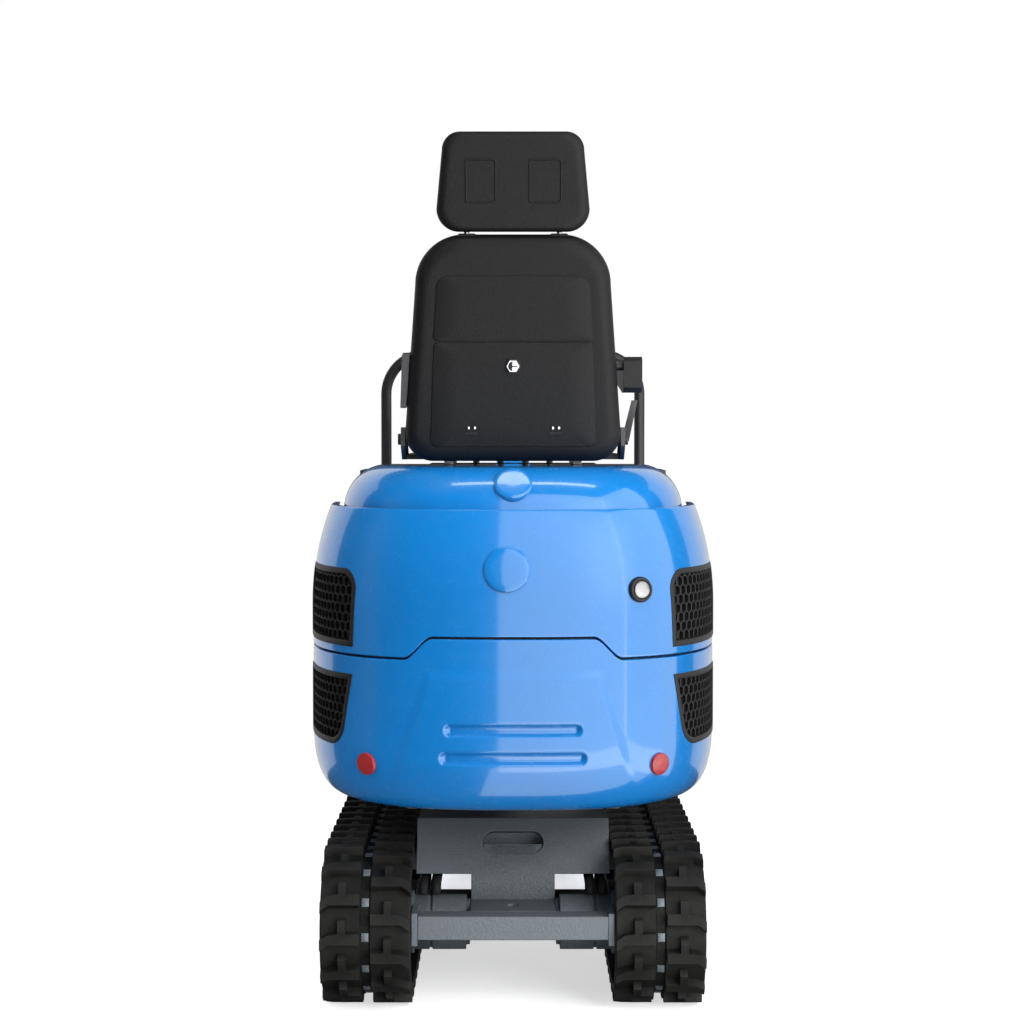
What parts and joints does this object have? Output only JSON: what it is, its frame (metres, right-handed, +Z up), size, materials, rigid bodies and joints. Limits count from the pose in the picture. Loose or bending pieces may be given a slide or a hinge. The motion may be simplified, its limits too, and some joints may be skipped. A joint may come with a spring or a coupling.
{
  "type": "mini excavator",
  "caption": "Compact tracked excavator with an open operator's seat, rounded tail, dozer blade and a boom, arm and bucket worked by cylinders.",
  "frame": {"origin": "middle of the parked machine's length and width, on the ground", "axes": "+Y forward over the dozer blade, +X to the machine's right, +Z up"},
  "size_m": [0.88, 2.6474, 1.8476],
  "materials": {
    "blue": "gloss",
    "blue_cast": "gloss paint over casting",
    "grey": "hammered grey paint",
    "rubber": "moulded",
    "steel": "worn",
    "chrome": "polished",
    "black_paint": "satin",
    "plastic": "grained",
    "seat": "grained vinyl over foam",
    "reflector": "moulded",
    "engine": "dull",
    "hose": "braided"
  },
  "bodies": {
    "undercarriage": {"chassis": "grey", "rear_cover": "grey", "cross_tube": "grey", "track_frames": "grey", "track_left": "rubber", "track_right": "rubber", "sprockets": "steel", "travel_motors": "grey", "travel_hoses": "hose", "idlers": "grey", "rollers": "grey", "slew_ring": "steel"},
    "blade": {"blade": "blue"},
    "blade_barrel": {"blade_barrel": "black_paint"},
    "blade_rod": {"blade_rod": "chrome"},
    "house": {"platform": "grey", "deck": "blue", "counterweight": "blue_cast", "crown": "blue", "pedestal": "black_paint", "engine": "engine", "lower_grilles": "plastic", "reflectors": "reflector", "seat_rails": "steel", "seat_frame": "black_paint", "seat_cushion": "seat", "seat_back": "seat", "headrest": "seat", "headrest_posts": "chrome", "armrest_bracket": "black_paint", "guard_rail": "black_paint", "control_stand": "plastic", "control_levers": "black_paint"},
    "hood": {"hood": "blue", "upper_grilles": "plastic", "hood_lock": "chrome"},
    "armrest": {"armrest": "plastic"},
    "boom": {"boom": "blue", "lifting_eye": "blue"},
    "boom_barrel": {"boom_barrel": "black_paint"},
    "boom_rod": {"boom_rod": "chrome"},
    "arm": {"arm": "blue"},
    "arm_barrel": {"arm_barrel": "black_paint"},
    "arm_rod": {"arm_rod": "chrome"},
    "bucket": {"bucket": "black_paint", "bucket_teeth": "steel"},
    "bucket_barrel": {"bucket_barrel": "black_paint"},
    "bucket_rod": {"bucket_rod": "chrome"},
    "bucket_rocker": {"bucket_rocker": "grey"},
    "bucket_link": {"bucket_link": "grey"}
  },
  "joints": [
    {"name": "slew", "type": "hinge", "parent": "undercarriage", "child": "house", "pos_m": [0, -0.63371, 0.42], "axis": [0, 0, 1], "continuous": true},
    {"name": "boom_lift", "type": "hinge", "parent": "house", "child": "boom", "pos_m": [0, -0.11371, 0.604], "axis": [1, 0, 0], "range_deg": [-60, 36]},
    {"name": "arm_swing", "type": "hinge", "parent": "boom", "child": "arm", "pos_m": [0, 1.21071, 1.30821], "axis": [-1, 0, 0], "range_deg": [-85, 20]},
    {"name": "bucket_curl", "type": "hinge", "parent": "arm", "child": "bucket", "pos_m": [0, 1.13663, 0.46144], "axis": [-1, 0, 0], "range_deg": [-95, 60]},
    {"name": "blade_lift", "type": "hinge", "parent": "undercarriage", "child": "blade", "pos_m": [0, -0.20371, 0.15], "axis": [1, 0, 0], "range_deg": [-20, 25]},
    {"name": "hood_open", "type": "hinge", "parent": "house", "child": "hood", "pos_m": [0, -0.84871, 1.017], "axis": [-1, 0, 0], "range_deg": [0, 42]},
    {"name": "armrest_lift", "type": "hinge", "parent": "house", "child": "armrest", "pos_m": [0, -0.99871, 1.36], "axis": [1, 0, 0], "range_deg": [0, 90]},
    {"name": "boom_barrel_pivot", "type": "hinge", "parent": "house", "child": "boom_barrel", "pos_m": [0, -0.03571, 0.499], "axis": [1, 0, 0], "range_deg": [-61.21, 36.92]},
    {"name": "boom_rod_slide", "type": "slide", "parent": "boom_barrel", "child": "boom_rod", "axis": [0, 0.7028, 0.7114], "range_m": [-0.1219, 0.07354]},
    {"name": "arm_barrel_pivot", "type": "hinge", "parent": "boom", "child": "arm_barrel", "pos_m": [0, 0.28046, 1.22697], "axis": [-1, 0, 0], "range_deg": [-0.84, 0.58]},
    {"name": "arm_rod_slide", "type": "slide", "parent": "arm_barrel", "child": "arm_rod", "axis": [0, 0.9715, 0.2369], "range_m": [-0.22135, 0.05285]},
    {"name": "bucket_rocker_pivot", "type": "hinge", "parent": "arm", "child": "bucket_rocker", "pos_m": [0, 1.18158, 0.68839], "axis": [-1, 0, 0], "range_deg": [-46.2, 29.36]},
    {"name": "bucket_link_pivot", "type": "hinge", "parent": "bucket_rocker", "child": "bucket_link", "pos_m": [0, 1.29371, 0.54758], "axis": [-1, 0, 0], "range_deg": [-31.26, 49.2]},
    {"name": "bucket_barrel_pivot", "type": "hinge", "parent": "arm", "child": "bucket_barrel", "pos_m": [0, 1.28107, 1.01094], "axis": [-1, 0, 0], "range_deg": [-13.88, 8.95]},
    {"name": "bucket_rod_slide", "type": "slide", "parent": "bucket_barrel", "child": "bucket_rod", "axis": [0, 0.0273, -0.9996], "range_m": [-0.0967, 0.06144]},
    {"name": "blade_barrel_pivot", "type": "hinge", "parent": "undercarriage", "child": "blade_barrel", "pos_m": [0, -0.25371, 0.29], "axis": [1, 0, 0], "range_deg": [-16.92, 21.03]},
    {"name": "blade_rod_slide", "type": "slide", "parent": "blade_barrel", "child": "blade_rod", "axis": [0, 0.9728, -0.2316], "range_m": [-0.05619, 0.04515]}
  ],
  "couplings": [
    {"joint": "boom_barrel_pivot", "follows": "boom_lift", "ratio": 1.0118},
    {"joint": "boom_rod_slide", "follows": "boom_lift", "m_per_rad": 0.11545},
    {"joint": "arm_barrel_pivot", "follows": "arm_swing", "ratio": 0.003963},
    {"joint": "arm_rod_slide", "follows": "arm_swing", "m_per_rad": 0.14853},
    {"joint": "bucket_rocker_pivot", "follows": "bucket_curl", "ratio": 0.48102},
    {"joint": "bucket_link_pivot", "follows": "bucket_curl", "ratio": -0.51267},
    {"joint": "bucket_barrel_pivot", "follows": "bucket_curl", "ratio": 0.1408},
    {"joint": "bucket_rod_slide", "follows": "bucket_curl", "m_per_rad": 0.057716},
    {"joint": "blade_barrel_pivot", "follows": "blade_lift", "ratio": 0.82121},
    {"joint": "blade_rod_slide", "follows": "blade_lift", "m_per_rad": -0.12648}
  ]
}
